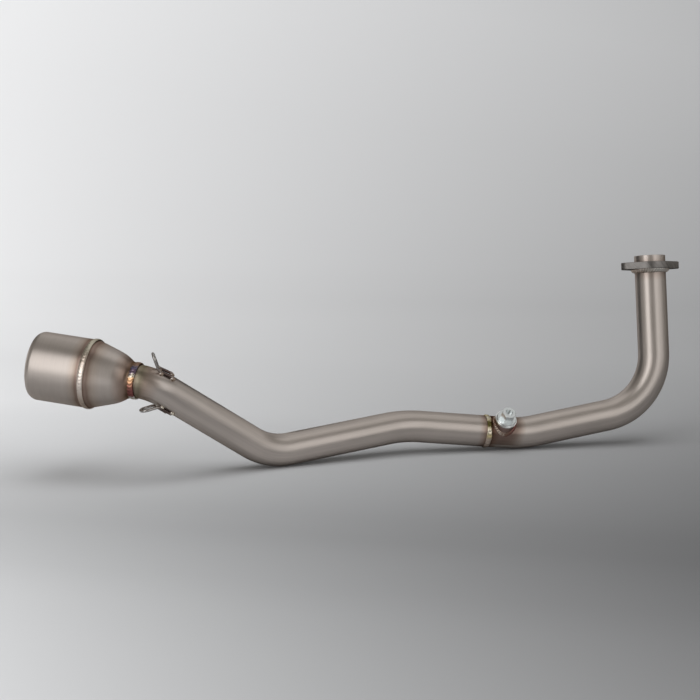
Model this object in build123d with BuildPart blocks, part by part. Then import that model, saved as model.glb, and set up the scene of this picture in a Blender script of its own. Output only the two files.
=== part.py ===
import os
from math import acos, atan2, cos, hypot, radians, sin, sqrt

from build123d import *

# Exhaust header pipe of a scooter: a bent tube that bolts to the engine's exhaust port with a
# two-stud flange and ends in a bell-shaped reducer and a sleeve for the silencer.
# Millimetres. The origin is the centre of the flange's face that looks at the engine. +Z is up,
# +X runs along the header towards the port, and +Y is the far side.

# Tube stock
tube_od = 35.0
tube_wall = 1.2

# Route of the centreline, from the port back to the outlet. A leg is measured between two bend
# corners. Its swing is its heading in plan and its climb is its rise, both towards the port, in
# degrees. The outlet leg is as long as the sleeve and the reducer, and a straight after them.
drop_length = 162.0
drop_lean = 10.5
front_length = 161.0
front_swing = 0.0
front_climb = 9.5
middle_length = 136.5
middle_swing = 0.0
middle_climb = -6.2
rear_length = 164.0
rear_swing = 14.5
rear_climb = 5.5
riser_length = 160.5
riser_swing = 18.0
riser_climb = -33.0
outlet_straight = 19.5
outlet_swing = -27.5
outlet_climb = -6.0

# Centreline radii of the bends
elbow_radius = 70.0
dip_radius = 120.0
hump_radius = 120.0
low_radius = 70.0
neck_radius = 38.0

# Outlet sleeve with its rolled-in mouth
sleeve_od = 72.0
sleeve_wall = 1.5
sleeve_length = 62.0
roll_radius = 9.0
roll_angle = 40.0
bevel_length = 3.1
bevel_depth = 0.9

# Bell-shaped reducer: bell, shoulder and throat arcs, and the collar that slips over the tube
cone_wall = 1.5
cone_length = 46.5
cone_seat = 0.05
collar_length = 1.5
throat_radius = 8.0
throat_turn = 37.0
shoulder_radius = 46.0
bell_turn = 2.0
tube_insertion = 4.0

# Weld beads, and the seat that each keeps to the metal it joins
weld_seat = 0.04
sleeve_bead_width = 6.0
sleeve_bead_height = 1.4
cone_bead_radius = 2.8
tube_bead_width = 4.4
tube_bead_height = 1.2
flange_bead_leg = 4.4
boss_bead_width = 2.1
boss_bead_height = 2.6
boss_bead_edge = 1.2
tack_radius = 2.6

# Port flange
plate_thickness = 8.0
stud_spacing = 52.0
stud_hole = 8.5
ear_radius = 8.0
hub_radius = 23.0
plate_edge = 0.5
flange_clearance = 0.1
spigot_length = 7.5
spigot_edge = 0.4

# Joint between the two tubes, and the sensor boss near it
joint_to_dip = 41.0
joint_to_sensor = 16.2
sensor_tilt = 44.0
boss_od = 23.5
boss_height = 6.5
boss_edge = 0.5
sensor_thread = 18.0
sensor_hole_clearance = 0.25

# Blanking plug of the sensor port, and its sealing washer
thread_clearance = 0.1
shank_length = 8.0
washer_od = 24.0
washer_thickness = 1.5
washer_clearance = 0.4
plug_collar_od = 22.0
plug_collar = 2.5
plug_chamfer = 0.6
hex_flats = 14.0
hex_height = 9.5
hex_chamfer = 1.0
recess_diameter = 8.0
recess_depth = 4.0

# Spring hooks, bent from round wire. A station is the way along the tube from its end in the
# collar to the middle of the hook's legs, and a clock angle is measured from the top of the tube.
wire_diameter = 3.0
hook_spacing = 12.0
hook_leg = 17.0
hook_arm = 17.5
hook_rise = 44.0
knee_radius = 6.0
loop_radius = 5.6
hook_seat = 0.06
upper_station = 29.3
upper_clock = 12.0
lower_station = 46.5
lower_clock = 180.0
knee_tack_inset = 3.5

UP = Vector(0, 0, 1)


def course(swing, climb):
    """Unit vector that heads towards the port with this swing in plan and this climb."""
    flat = cos(radians(climb))
    return Vector(flat * cos(radians(swing)), flat * sin(radians(swing)), sin(radians(climb)))


def near_side(heading):
    """Level direction square to a heading, on the near side."""
    return heading.cross(UP).normalized()


def write(part, name):
    part.label = name
    export_step(part, f"parts/{name}.step")


os.makedirs("parts", exist_ok=True)

# Corners of the centreline
port_centre = Vector(0, 0, 0)
port_axis = Vector(0, sin(radians(drop_lean)), cos(radians(drop_lean)))
outlet_axis = course(outlet_swing, outlet_climb)
middle_course = course(middle_swing, middle_climb)
elbow = port_centre - port_axis * drop_length
dip = elbow - course(front_swing, front_climb) * front_length
hump = dip - middle_course * middle_length
low = hump - course(rear_swing, rear_climb) * rear_length
neck = low - course(riser_swing, riser_climb) * riser_length
cone_end = sleeve_length + cone_length
mouth = neck - outlet_axis * (cone_end + outlet_straight)

# Ends of the two tubes
tube_start = mouth + outlet_axis * (cone_end - tube_insertion)
joint = dip - middle_course * joint_to_dip
spigot_end = port_centre + port_axis * spigot_length

port_plane = Plane(origin=port_centre, x_dir=(1, 0, 0), z_dir=port_axis)
port_line = Axis(origin=port_centre, direction=port_axis)
outlet_plane = Plane(origin=mouth, x_dir=outlet_axis, z_dir=near_side(outlet_axis))
outlet_line = Axis(origin=mouth, direction=outlet_axis)


def rear_path():
    radii = [neck_radius, low_radius, hump_radius]
    return FilletPolyline(tube_start, neck, low, hump, joint, radius=radii)


def front_path():
    return FilletPolyline(joint, dip, elbow, spigot_end, radius=[dip_radius, elbow_radius])


def swept(path, radius, bore=0):
    """Rod of this radius along a path, or a tube when it has a bore."""
    with BuildPart() as rod:
        with BuildLine():
            route = path()
        with BuildSketch(Plane(origin=route @ 0, z_dir=route % 0)):
            Circle(radius)
            if bore:
                Circle(bore, mode=Mode.SUBTRACT)
        sweep(path=route)
    return rod.part


def on_circle(centre, radius, angle):
    return (centre[0] + radius * cos(angle), centre[1] + radius * sin(angle))


# Outlet sleeve: a rolled tube whose open mouth curls inwards, with its other end bevelled for
# the weld
sleeve_radius = sleeve_od / 2
sleeve_bore = sleeve_radius - sleeve_wall
with BuildPart() as outlet_sleeve:
    with BuildSketch(outlet_plane):
        with BuildLine():
            roll_centre = (roll_radius * sin(radians(roll_angle)), sleeve_radius - roll_radius)
            outer_roll = CenterArc(roll_centre, roll_radius, 90, roll_angle)
            inner_roll = CenterArc(roll_centre, roll_radius - sleeve_wall, 90, roll_angle)
            Line(outer_roll @ 1, inner_roll @ 1)
            Line(inner_roll @ 0, (sleeve_length, sleeve_bore))
            bevel_foot = (sleeve_length, sleeve_radius - bevel_depth)
            bevel_top = (sleeve_length - bevel_length, sleeve_radius)
            Line((sleeve_length, sleeve_bore), bevel_foot)
            Line(bevel_foot, bevel_top)
            Line(bevel_top, outer_roll @ 0)
        make_face()
    revolve(axis=outlet_line)
write(outlet_sleeve.part, "outlet_sleeve")

# Reducer: centres of its tangent arcs. The throat is concave, the shoulder and the bell convex.
# The slope where bell and shoulder meet is that of the bell's chord and half its turn. Each
# depends on the other, so it is found in a few rounds.
collar_radius = tube_od / 2 + cone_seat + cone_wall
throat_centre = (cone_end - collar_length, collar_radius + throat_radius)
throat_top = on_circle(throat_centre, throat_radius, radians(-90 - throat_turn))
shoulder_centre = on_circle(throat_top, shoulder_radius, radians(-90 - throat_turn))
bell_half_turn = radians(bell_turn / 2)
shoulder_slope = bell_half_turn
for _ in range(12):
    shoulder_top = on_circle(shoulder_centre, shoulder_radius, radians(90) - shoulder_slope)
    bell_run = shoulder_top[0] - sleeve_length
    bell_drop = sleeve_radius - shoulder_top[1]
    shoulder_slope = atan2(bell_drop, bell_run) + bell_half_turn
bell_radius = hypot(bell_run, bell_drop) / (2 * sin(bell_half_turn))
bell_centre = on_circle(shoulder_top, bell_radius, radians(-90) - shoulder_slope)


def bell_outline(inset):
    """The reducer's outline from the sleeve to the collar's end, set in by a wall's thickness."""
    bell = bell_radius - inset
    shoulder = shoulder_radius - inset
    throat = throat_radius + inset
    bell_start = acos((sleeve_length - bell_centre[0]) / bell)
    bell_stop = radians(90) - shoulder_slope
    shoulder_stop = radians(90 - throat_turn)
    first = ThreePointArc(
        on_circle(bell_centre, bell, bell_start),
        on_circle(bell_centre, bell, (bell_start + bell_stop) / 2),
        on_circle(bell_centre, bell, bell_stop),
    )
    second = ThreePointArc(
        first @ 1,
        on_circle(shoulder_centre, shoulder, (bell_stop + shoulder_stop) / 2),
        on_circle(shoulder_centre, shoulder, shoulder_stop),
    )
    third = ThreePointArc(
        second @ 1,
        on_circle(throat_centre, throat, radians(-90 - throat_turn / 2)),
        on_circle(throat_centre, throat, radians(-90)),
    )
    collar = Line(third @ 1, (cone_end, throat_centre[1] - throat))
    return first @ 0, collar @ 1


with BuildPart() as reducer_cone:
    with BuildSketch(outlet_plane):
        with BuildLine():
            outer_start, outer_end = bell_outline(0)
            inner_start, inner_end = bell_outline(cone_wall)
            Line(outer_start, inner_start)
            Line(outer_end, inner_end)
        make_face()
    revolve(axis=outlet_line)
write(reducer_cone.part, "reducer_cone")

# Tubes
tube_radius = tube_od / 2
tube_bore = tube_radius - tube_wall
with BuildPart() as rear_tube:
    add(swept(rear_path, tube_radius, tube_bore))
write(rear_tube.part, "rear_tube")

# Frame of the sensor boss: its axis stands on the tube's centreline, tilted to the near side
sensor_foot = joint + middle_course * joint_to_sensor
sensor_up = near_side(middle_course).cross(middle_course).normalized()
sensor_level = near_side(middle_course) * sin(radians(sensor_tilt))
sensor_axis = sensor_up * cos(radians(sensor_tilt)) + sensor_level
sensor_plane = Plane(origin=sensor_foot, x_dir=middle_course, z_dir=sensor_axis)
boss_face = sensor_plane.offset(tube_radius + boss_height)

with BuildPart() as front_tube:
    add(swept(front_path, tube_radius, tube_bore))
    with BuildSketch(sensor_plane):
        Circle(sensor_thread / 2 + sensor_hole_clearance)
    extrude(amount=tube_od, mode=Mode.SUBTRACT)
    spigot_face = front_tube.faces().filter_by(GeomType.PLANE).sort_by(port_line)[-1]
    chamfer(spigot_face.edges(), spigot_edge)
write(front_tube.part, "front_tube")

# Rods that stand for the tubes with the seat of a weld round them
rear_seat = swept(rear_path, tube_radius + weld_seat)
front_seat = swept(front_path, tube_radius + weld_seat)

# Weld bead over the seam of sleeve and reducer, with its root in the bevel
with BuildPart() as sleeve_weld:
    with BuildSketch(outlet_plane):
        with BuildLine():
            bead_foot = sleeve_radius + weld_seat
            left = (sleeve_length - sleeve_bead_width / 2, bead_foot)
            right = (sleeve_length + sleeve_bead_width / 2, bead_foot)
            seam = sleeve_length - weld_seat
            bevel_slope = bevel_depth / bevel_length
            root = bead_foot - (sleeve_bead_width / 2 - weld_seat) * bevel_slope
            ThreePointArc(left, (sleeve_length, bead_foot + sleeve_bead_height), right)
            Line(right, (seam, bead_foot))
            Line((seam, bead_foot), (seam, root))
            Line((seam, root), left)
        make_face()
    revolve(axis=outlet_line)
write(sleeve_weld.part, "sleeve_weld")

# Fillet weld between the end of the reducer's collar and the tube
with BuildPart() as cone_weld:
    with BuildSketch(outlet_plane):
        with Locations((cone_end + weld_seat, tube_radius)):
            Circle(cone_bead_radius)
        with Locations((cone_end + weld_seat, tube_radius)):
            Rectangle(
                cone_bead_radius,
                cone_bead_radius * 2,
                align=(Align.MAX, Align.CENTER),
                mode=Mode.SUBTRACT,
            )
    revolve(axis=outlet_line)
    add(rear_seat, mode=Mode.SUBTRACT)
write(cone_weld.part, "cone_weld")

# Butt weld between the two tubes
with BuildPart() as tube_weld:
    with BuildSketch(Plane(origin=joint, x_dir=middle_course, z_dir=near_side(middle_course))):
        with BuildLine():
            bead_foot = tube_radius + weld_seat
            left = (-tube_bead_width / 2, bead_foot)
            right = (tube_bead_width / 2, bead_foot)
            ThreePointArc(left, (0, bead_foot + tube_bead_height), right)
            Line(right, left)
        make_face()
    revolve(axis=Axis(origin=joint, direction=middle_course))
write(tube_weld.part, "tube_weld")

# Port flange: oval plate with an ear for each stud
with BuildPart() as port_flange:
    with BuildSketch(port_plane):
        Circle(hub_radius)
        with GridLocations(stud_spacing, 0, 2, 1):
            Circle(ear_radius)
        make_hull()
        Circle(tube_radius + flange_clearance, mode=Mode.SUBTRACT)
        with GridLocations(stud_spacing, 0, 2, 1):
            Circle(stud_hole / 2, mode=Mode.SUBTRACT)
    extrude(amount=-plate_thickness)
    plate_faces = port_flange.faces().filter_by(GeomType.PLANE).sort_by(port_line)
    rims = plate_faces[0].outer_wire().edges() + plate_faces[-1].outer_wire().edges()
    chamfer(rims, plate_edge)
write(port_flange.part, "port_flange")

# Fillet weld under the flange, with a hollow face between the plate and the tube
port_section = Plane(origin=port_centre, x_dir=(1, 0, 0), z_dir=port_axis.cross(Vector(1, 0, 0)))
with BuildPart() as flange_weld:
    with BuildSketch(port_section):
        with BuildLine():
            root = (tube_radius + weld_seat, plate_thickness + weld_seat)
            plate_toe = (root[0] + flange_bead_leg, root[1])
            tube_toe = (root[0], root[1] + flange_bead_leg)
            RadiusArc(tube_toe, plate_toe, flange_bead_leg * 2)
            Line(plate_toe, root)
            Line(root, tube_toe)
        make_face()
    revolve(axis=port_line)
write(flange_weld.part, "flange_weld")

# Sensor boss: a ring with its foot cut to the tube
with BuildPart() as sensor_boss:
    with BuildSketch(sensor_plane):
        Circle(boss_od / 2)
        Circle(sensor_thread / 2, mode=Mode.SUBTRACT)
    extrude(amount=tube_radius + boss_height)
    boss_rim = sensor_boss.faces().filter_by(GeomType.PLANE).sort_by(
        Axis(origin=sensor_foot, direction=sensor_axis)
    )[-1]
    chamfer(boss_rim.outer_wire().edges(), boss_edge)
    add(front_seat, mode=Mode.SUBTRACT)
write(sensor_boss.part, "sensor_boss")


def from_axis(point):
    """Distance of a point from the boss's axis."""
    reach = point - sensor_foot
    return (reach - sensor_axis * reach.dot(sensor_axis)).length


# Weld round the foot of the boss: a ring that follows the saddle of the tube
with BuildPart() as boss_weld:
    with BuildSketch(sensor_plane):
        Circle(boss_od / 2 + boss_bead_width)
        Circle(boss_od / 2 + weld_seat, mode=Mode.SUBTRACT)
    extrude(amount=tube_od)
    add(swept(front_path, tube_radius + boss_bead_height), mode=Mode.INTERSECT)
    bead_middle = (boss_od + boss_bead_width) / 2
    rims = boss_weld.edges().filter_by(GeomType.BSPLINE)
    chamfer(rims.filter_by(lambda rim: from_axis(rim @ 0.5) > bead_middle), boss_bead_edge)
    add(front_seat, mode=Mode.SUBTRACT)
write(boss_weld.part, "boss_weld")

# Sealing washer between the plug's collar and the boss
with BuildPart() as sealing_washer:
    with BuildSketch(boss_face):
        Circle(washer_od / 2)
        Circle(sensor_thread / 2 + washer_clearance, mode=Mode.SUBTRACT)
    extrude(amount=washer_thickness)
write(sealing_washer.part, "sealing_washer")

# Blanking plug: threaded shank, collar and hexagon with chamfered corners and a recess in its end
collar_face = boss_face.offset(washer_thickness)
hex_face = collar_face.offset(plug_collar)
plug_line = Axis(origin=sensor_foot, direction=sensor_axis)
with BuildPart() as hex_head:
    with BuildSketch(hex_face):
        Circle(hex_flats / sqrt(3))
    extrude(amount=hex_height)
    chamfer(hex_head.edges().group_by(plug_line)[-1], hex_chamfer)
    with BuildSketch(hex_face):
        RegularPolygon(hex_flats / 2, 6, major_radius=False)
    extrude(amount=hex_height, mode=Mode.INTERSECT)

with BuildPart() as sensor_plug:
    with BuildSketch(collar_face):
        Circle(plug_collar_od / 2)
    extrude(amount=plug_collar)
    chamfer(sensor_plug.edges().group_by(plug_line)[-1], plug_chamfer)
    with BuildSketch(collar_face):
        Circle(sensor_thread / 2 - thread_clearance)
    extrude(amount=-washer_thickness - shank_length)
    add(hex_head.part)
    with BuildSketch(hex_face.offset(hex_height)):
        Circle(recess_diameter / 2)
    extrude(amount=-recess_depth, mode=Mode.SUBTRACT)
write(sensor_plug.part, "sensor_plug")


def spring_hook(station, clock):
    """Wire U with two legs along the tube and a closed loop that leans out towards the sleeve."""
    with BuildLine():
        route = rear_path()
    middle = route.position_at(station, position_mode=PositionMode.LENGTH)
    heading = route.tangent_at(station, position_mode=PositionMode.LENGTH)
    level = near_side(heading)
    out = level.cross(heading) * cos(radians(clock)) + level * sin(radians(clock))
    across = heading.cross(out)
    half = hook_spacing / 2
    seat = tube_radius + wire_diameter / 2 + hook_seat
    knee = middle + out * sqrt(seat**2 - half**2) - heading * (hook_leg / 2)
    lean = out * sin(radians(hook_rise)) - heading * cos(radians(hook_rise))
    loop = knee + lean * hook_arm
    end = knee + heading * hook_leg
    points = [end, knee, loop]
    corners = [point + across * half for point in points]
    corners += [point - across * half for point in reversed(points)]
    with BuildPart() as hook:
        with BuildLine():
            radii = [knee_radius, loop_radius, loop_radius, knee_radius]
            wire = FilletPolyline(*corners, radius=radii)
        with BuildSketch(Plane(origin=wire @ 0, z_dir=wire % 0)):
            Circle(wire_diameter / 2)
        sweep(path=wire)
    return hook.part, corners, heading, out


def hook_tacks(hook, corners, heading, out):
    """Tack welds at the end and at the knee of each leg, cut to the wire and the tube."""
    drop = out * (wire_diameter / 2)
    with BuildPart() as tacks:
        spots = [corners[0] - drop, corners[-1] - drop]
        spots += [corners[1] + heading * knee_tack_inset - drop]
        spots += [corners[-2] + heading * knee_tack_inset - drop]
        with Locations(*spots):
            Sphere(tack_radius)
        add(rear_seat, mode=Mode.SUBTRACT)
        add(hook, mode=Mode.SUBTRACT)
    return tacks.part


upper = spring_hook(upper_station, upper_clock)
lower = spring_hook(lower_station, lower_clock)
with BuildPart() as upper_spring_hook:
    add(upper[0])
write(upper_spring_hook.part, "upper_spring_hook")

with BuildPart() as lower_spring_hook:
    add(lower[0])
write(lower_spring_hook.part, "lower_spring_hook")

with BuildPart() as upper_hook_tacks:
    add(hook_tacks(*upper))
write(upper_hook_tacks.part, "upper_hook_tacks")

with BuildPart() as lower_hook_tacks:
    add(hook_tacks(*lower))
write(lower_hook_tacks.part, "lower_hook_tacks")
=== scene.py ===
# %% [markdown]
# # An exhaust header pipe
# This lesson dresses a scooter's exhaust header: a bent steel tube that bolts to the engine with a
# two-stud flange and ends in a bell-shaped reducer and a sleeve for the silencer. The solid model
# is loaded first, as a frame that never moves. The tubes, the spun parts and the welds are then
# laid over it as fine surfaces, because brushing, heat tint and weld ripples all follow the tube,
# and a surface that knows how far along the tube it is can carry them.
# Everything is in metres. +X runs along the header towards the port, +Y is the far side, +Z is up.

import bpy
import numpy as np
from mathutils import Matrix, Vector


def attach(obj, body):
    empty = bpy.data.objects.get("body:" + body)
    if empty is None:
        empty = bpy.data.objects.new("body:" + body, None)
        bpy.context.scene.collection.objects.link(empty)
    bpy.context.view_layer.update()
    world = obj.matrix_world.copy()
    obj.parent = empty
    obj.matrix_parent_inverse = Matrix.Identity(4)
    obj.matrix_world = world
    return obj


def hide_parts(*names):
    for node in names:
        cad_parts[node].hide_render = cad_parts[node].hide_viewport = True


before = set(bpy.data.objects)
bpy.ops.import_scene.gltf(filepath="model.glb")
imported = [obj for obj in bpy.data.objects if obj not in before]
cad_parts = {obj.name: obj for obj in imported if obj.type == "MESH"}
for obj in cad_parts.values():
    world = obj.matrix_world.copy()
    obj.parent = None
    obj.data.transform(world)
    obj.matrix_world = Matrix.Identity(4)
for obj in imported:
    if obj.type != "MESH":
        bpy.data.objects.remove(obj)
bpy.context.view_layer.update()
print("solid pieces:", len(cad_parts))

# %% [markdown]
# ## Sizes
# A pipe bender works from a short list: the lengths between bend corners, the two angles of each
# leg and the radius of each bend. The same list, in millimetres and degrees, gives the route here.

# %% Sizes of the real part
MM = 0.001
TUBE_RADIUS, TUBE_WALL = 17.5 * MM, 1.2 * MM
LEGS = {
    "outlet": (128.0, -27.5, -6.0),
    "riser": (160.5, 18.0, -33.0),
    "rear": (164.0, 14.5, 5.5),
    "middle": (136.5, 0.0, -6.2),
    "front": (161.0, 0.0, 9.5),
}
DROP_LENGTH, DROP_LEAN = 162.0 * MM, np.radians(10.5)
BEND_RADII = [38 * MM, 70 * MM, 120 * MM, 120 * MM, 70 * MM]
SLEEVE_RADIUS, SHEET = 36.0 * MM, 1.5 * MM
SLEEVE_LENGTH, CONE_LENGTH = 62.0 * MM, 46.5 * MM
CONE_END = SLEEVE_LENGTH + CONE_LENGTH
TUBE_INSERTION = 4.0 * MM
JOINT_TO_DIP, JOINT_TO_SENSOR = 41.0 * MM, 16.2 * MM
PLATE, SPIGOT = 8.0 * MM, 7.5 * MM


def heading_of(swing, climb):
    """Unit vector (cos c cos s, cos c sin s, sin c) of a leg with swing s in plan and climb c."""
    s, c = np.radians(swing), np.radians(climb)
    return np.array([np.cos(c) * np.cos(s), np.cos(c) * np.sin(s), np.sin(c)])


port_axis = np.array([0.0, np.sin(DROP_LEAN), np.cos(DROP_LEAN)])
corners = [np.zeros(3), -port_axis * DROP_LENGTH]
for name in ("front", "middle", "rear", "riser", "outlet"):
    length, swing, climb = LEGS[name]
    corners.append(corners[-1] - heading_of(swing, climb) * length * MM)
port, elbow, dip, hump, low, neck, mouth = corners
outlet_axis = heading_of(*LEGS["outlet"][1:])
middle_course = heading_of(*LEGS["middle"][1:])
joint = dip - middle_course * JOINT_TO_DIP
print("mouth of the sleeve at", np.round(mouth, 4))

# %% [markdown]
# ## The route of a bent tube
# A bent tube is straight runs joined by arcs that touch them. The real tube isn't twisted as it
# is bent, so the frame carried along it must not twist either: it stays as it is on a run, and on
# an arc it turns about the arc's own axis. Any distance along the route then has a centre, a
# heading, and two directions square to it.

# %% Route with rounded corners
UP = np.array([0.0, 0.0, 1.0])


def unit(v):
    """v divided by its length."""
    return v / np.linalg.norm(v, axis=-1, keepdims=True)


def turned(v, axis, angle):
    """v turned about a unit axis k by angle a: v cos a + (k x v) sin a + k (k.v) (1 - cos a)."""
    a = np.asarray(angle)[..., None]
    return v * np.cos(a) + np.cross(axis, v) * np.sin(a) + axis * (v @ axis) * (1 - np.cos(a))


class Route:
    """Runs and tangent arcs through corner points. route(s) gives centre, heading, top and side."""

    def __init__(self, points, radii=()):
        points = [np.asarray(p, float) for p in points]
        self.pieces, start, s = [], points[0], 0.0
        top = None
        for i in range(1, len(points)):
            course = unit(points[i] - points[i - 1])
            if top is None:
                side = unit(np.cross(course, UP))
                top = np.cross(side, course)
            end = points[i]
            if i < len(points) - 1:
                onward = unit(points[i + 1] - points[i])
                turn = np.arccos(np.clip(course @ onward, -1, 1))
                end = points[i] - course * radii[i - 1] * np.tan(turn / 2)
            run = np.linalg.norm(end - start)
            self.pieces.append((s, run, start, course, top, None, 0.0))
            s += run
            if i < len(points) - 1:
                axis = unit(np.cross(course, onward))
                self.pieces.append((s, radii[i - 1] * turn, end, course, top, axis, radii[i - 1]))
                s += radii[i - 1] * turn
                start = points[i] + onward * radii[i - 1] * np.tan(turn / 2)
                top = turned(top, axis, turn)
        self.length = s

    def __call__(self, s):
        """Centre, heading, top and side: start + d heading on a run, a turn by d / R on an arc."""
        s = np.atleast_1d(np.asarray(s, float))
        centre, course, top = (np.zeros((len(s), 3)) for _ in range(3))
        last = len(self.pieces) - 1
        for i, (s0, run, start, along, up, axis, radius) in enumerate(self.pieces):
            here = (s >= s0 if i else s > -np.inf) & (s < s0 + run if i < last else s < np.inf)
            d = s[here] - s0
            if axis is None:
                centre[here] = start + d[:, None] * along
                course[here], top[here] = along, up
            else:
                inward = np.cross(axis, along)
                centre[here] = start + radius * (inward - turned(inward, axis, d / radius))
                course[here] = turned(along, axis, d / radius)
                top[here] = turned(up, axis, d / radius)
        return centre, course, top, np.cross(course, top)


tube_start = mouth + outlet_axis * (CONE_END - TUBE_INSERTION)
rear_route = Route([tube_start, neck, low, hump, joint], BEND_RADII[:3])
front_route = Route([joint, dip, elbow, port + port_axis * SPIGOT], BEND_RADII[3:])
outlet_route = Route([mouth, mouth + outlet_axis * CONE_END])
print("rear tube", round(rear_route.length, 4), "front tube", round(front_route.length, 4))

# %% [markdown]
# ## Surfaces round a route
# Tube, sleeve and reducer are all a profile of radius against distance, carried round a route. The
# profile is a closed loop, out along the outside and back along the bore, so the wall is real and
# no edge is left open. Each vertex also keeps where it would be if the tube were pulled straight.
# That attribute, called rolled, is what brushing and heat tint are drawn on.

# %% Mesh from a grid of points
def placed(name, data):
    """A new object of this data, linked to the scene."""
    thing = bpy.data.objects.new(name, data)
    bpy.context.scene.collection.objects.link(thing)
    return thing


def skin(name, points, rolled, sharp=35):
    """Closes a grid of points both ways into quads, and turns the faces outwards if need be."""
    index = np.arange(points[..., 0].size).reshape(points.shape[:2])
    over, on = np.roll(index, -1, axis=1), np.roll(index, -1, axis=0)
    quads = np.stack([index, over, np.roll(over, -1, axis=0), on], -1).reshape(-1, 4)
    flat = points.reshape(-1, 3)
    a, b, c, d = (flat[quads[:, k]] for k in range(4))
    volume = (a * np.cross(b, c)).sum() + (a * np.cross(c, d)).sum()
    if volume < 0:
        quads = quads[:, ::-1]
    mesh = bpy.data.meshes.new(name)
    mesh.from_pydata(flat.tolist(), [], quads.tolist())
    pulled = mesh.attributes.new("rolled", "FLOAT_VECTOR", "POINT")
    pulled.data.foreach_set("vector", rolled.reshape(-1).astype(np.float32))
    mesh.polygons.foreach_set("use_smooth", np.ones(len(quads), bool))
    mesh.set_sharp_from_angle(angle=np.radians(sharp))
    piece = placed(name, mesh)
    print(name, "triangles", 2 * len(quads), "volume cm3", round(abs(volume) / 6 * 1e6, 2))
    return piece


def carried(name, route, s, r, around=96):
    """P(s, a) = centre(s) + r (top cos a + side sin a), for a closed loop of (s, r)."""
    a = np.linspace(0, 2 * np.pi, around, endpoint=False)
    centre, _, top, side = route(s)
    s, r = np.asarray(s), np.asarray(r)
    ring = top[:, None] * np.cos(a)[None, :, None] + side[:, None] * np.sin(a)[None, :, None]
    points = centre[:, None] + ring * r[:, None, None]
    rolled = np.stack(
        [np.repeat(s[:, None], around, 1), np.outer(r, np.cos(a)), np.outer(r, np.sin(a))], -1
    )
    return skin(name, points, rolled)


def on_circle(centre, radius, degrees):
    """Centre + radius (cos a, sin a) in the (s, r) plane, with a in degrees."""
    a = np.radians(degrees)
    return np.array([centre[0] + radius * np.cos(a), centre[1] + radius * np.sin(a)])


def arc(centre, radius, start, stop, count):
    """Points along a circle between two angles."""
    return on_circle(centre, radius, np.linspace(start, stop, count)).T


# %% [markdown]
# ## Tubes
# The tube is drawn stainless stock, bent cold on a mandrel so that the section stays round. Its
# ends are cut square and their edges broken with a small chamfer.

# %% Rear and front tube
CHAMFER, RING_STEP = 0.25 * MM, 3.0 * MM


def tube_loop(length):
    """Closed (s, r) loop of a tube: outside, end, bore and back, with broken edges."""
    out, bore = TUBE_RADIUS, TUBE_RADIUS - TUBE_WALL
    s = np.linspace(CHAMFER, length - CHAMFER, int(length / RING_STEP))
    outer = np.stack([s, np.full_like(s, out)], -1)
    inner = np.stack([s[::-1], np.full_like(s, bore)], -1)
    far = [[length, out - CHAMFER], [length, bore + CHAMFER]]
    near = [[0.0, bore + CHAMFER], [0.0, out - CHAMFER]]
    return np.vstack([outer, far, inner, near])


rear = carried("rear_tube_skin", rear_route, *tube_loop(rear_route.length).T)
front = carried("front_tube_skin", front_route, *tube_loop(front_route.length).T)

# %% [markdown]
# ## Sleeve and reducer
# The sleeve is rolled sheet with its mouth curled in, so that it slides into the silencer. The
# reducer is spun from a tube: a full bell, a shoulder and a small hollow throat, all tangent arcs,
# and a short collar that slips over the tube.

# %% Sleeve with its rolled mouth
ROLL, ROLL_TURN = 9.0 * MM, 40.0
roll_centre = (ROLL * np.sin(np.radians(ROLL_TURN)), SLEEVE_RADIUS - ROLL)
outer_roll = arc(roll_centre, ROLL, 90 + ROLL_TURN, 90, 14)
inner_roll = arc(roll_centre, ROLL - SHEET, 90, 90 + ROLL_TURN, 14)
wall_rows = np.linspace(ROLL, SLEEVE_LENGTH, 12)
outside = np.stack([wall_rows, np.full_like(wall_rows, SLEEVE_RADIUS)], -1)
inside = np.stack([wall_rows[::-1], np.full_like(wall_rows, SLEEVE_RADIUS - SHEET)], -1)
sleeve_loop = np.vstack([outer_roll, outside, inside, inner_roll])
sleeve = carried("sleeve_skin", outlet_route, *sleeve_loop.T, around=160)

# %% [markdown]
# The reducer's three arcs meet without a corner, so only two of them are free: the throat and the
# shoulder have set radii. The bell's is whatever lets its arc turn by two degrees between the
# sleeve and the shoulder, and a few rounds of trial find it.

# %% Reducer from three tangent arcs
COLLAR_RADIUS = TUBE_RADIUS + 0.05 * MM + SHEET
THROAT, THROAT_TURN = 8.0 * MM, 37.0
SHOULDER, BELL_TURN = 46.0 * MM, 2.0
COLLAR = 1.5 * MM
throat_centre = np.array([CONE_END - COLLAR, COLLAR_RADIUS + THROAT])
throat_top = on_circle(throat_centre, THROAT, -90 - THROAT_TURN)
shoulder_centre = on_circle(throat_top, SHOULDER, -90 - THROAT_TURN)
slope = BELL_TURN / 2
for _ in range(12):
    shoulder_top = on_circle(shoulder_centre, SHOULDER, 90 - slope)
    run, drop = shoulder_top[0] - SLEEVE_LENGTH, SLEEVE_RADIUS - shoulder_top[1]
    slope = np.degrees(np.arctan2(drop, run)) + BELL_TURN / 2
BELL = np.hypot(run, drop) / (2 * np.sin(np.radians(BELL_TURN / 2)))
bell_centre = on_circle(shoulder_top, BELL, -90 - slope)


def bell_line(inset):
    """The reducer's outline from sleeve to collar end, set in by a wall."""
    start = np.degrees(np.arccos((SLEEVE_LENGTH - bell_centre[0]) / (BELL - inset)))
    bell = arc(bell_centre, BELL - inset, start, 90 - slope, 26)
    shoulder = arc(shoulder_centre, SHOULDER - inset, 90 - slope, 90 - THROAT_TURN, 16)
    throat = arc(throat_centre, THROAT + inset, -90 - THROAT_TURN, -90, 12)
    collar = [[CONE_END, throat_centre[1] - THROAT - inset]]
    return np.vstack([bell, shoulder[1:], throat[1:], collar])


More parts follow.
